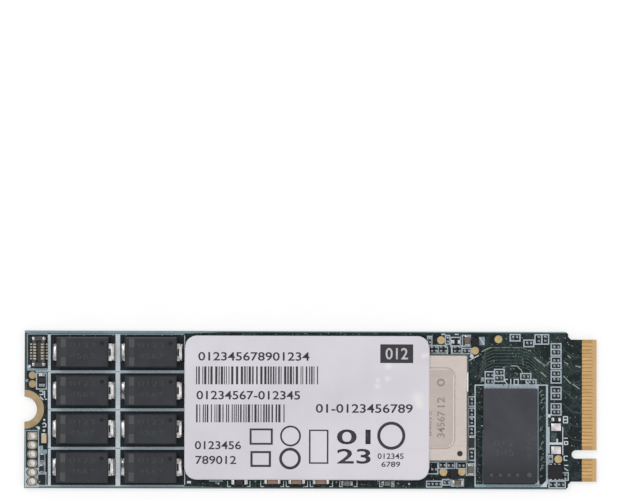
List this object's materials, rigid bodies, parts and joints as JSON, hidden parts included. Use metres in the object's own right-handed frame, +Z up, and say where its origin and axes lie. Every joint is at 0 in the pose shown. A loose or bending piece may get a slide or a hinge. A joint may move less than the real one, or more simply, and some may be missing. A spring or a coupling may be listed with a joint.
{
  "type": "gumstick solid state drive",
  "caption": "Gumstick solid state drive: a bare card with an edge connector, labelled flash packages, a lidded controller, memory and hold-up capacitors.",
  "frame": {"origin": "bottom centre of the card, midway between its screw end and its connector tip, on its bare underside", "axes": "+X along the card to the edge connector, +Y across it away from the key notch, +Z up from the component side"},
  "size_m": [0.08, 0.022, 0.0023],
  "materials": {
    "board": "satin solder mask",
    "moulding": "fine matt",
    "tinned": "tinned, satin",
    "nickel": "satin nickel plate",
    "carrier": "solder mask",
    "silicon": "polished",
    "label_film": "satin",
    "ceramic": "fired ceramic with tinned ends",
    "resistor": "glazed with tinned ends",
    "nylon": "moulded nylon with gilded contacts"
  },
  "bodies": {
    "root": {"circuit_board": "board", "label": "label_film", "flash_package_1": "moulding", "flash_package_2": "moulding", "controller_substrate": "carrier", "controller_die": "silicon", "controller_lid": "nickel", "memory_package": "moulding", "tantalum_case_1": "moulding", "tantalum_case_2": "moulding", "tantalum_case_3": "moulding", "tantalum_case_4": "moulding", "tantalum_case_5": "moulding", "tantalum_case_6": "moulding", "tantalum_case_7": "moulding", "tantalum_case_8": "moulding", "anode_lead_1": "tinned", "anode_lead_2": "tinned", "anode_lead_3": "tinned", "anode_lead_4": "tinned", "anode_lead_5": "tinned", "anode_lead_6": "tinned", "anode_lead_7": "tinned", "anode_lead_8": "tinned", "cathode_lead_1": "tinned", "cathode_lead_2": "tinned", "cathode_lead_3": "tinned", "cathode_lead_4": "tinned", "cathode_lead_5": "tinned", "cathode_lead_6": "tinned", "cathode_lead_7": "tinned", "cathode_lead_8": "tinned", "strap_resistor": "resistor", "header_capacitor": "ceramic", "header_resistor_1": "resistor", "header_resistor_2": "resistor", "controller_capacitor_1": "ceramic", "controller_capacitor_2": "ceramic", "controller_capacitor_3": "ceramic", "controller_capacitor_4": "ceramic", "resistor_array": "resistor", "lane_capacitor": "ceramic", "supply_resistor": "resistor", "supply_capacitor_1": "ceramic", "supply_capacitor_2": "ceramic", "supply_capacitor_3": "ceramic", "bypass_capacitor_1": "ceramic", "bypass_capacitor_2": "ceramic", "clock_driver": "moulding", "supervisor": "moulding", "power_inductor": "moulding", "voltage_regulator": "moulding", "link_connector": "nylon"}
  },
  "joints": []
}
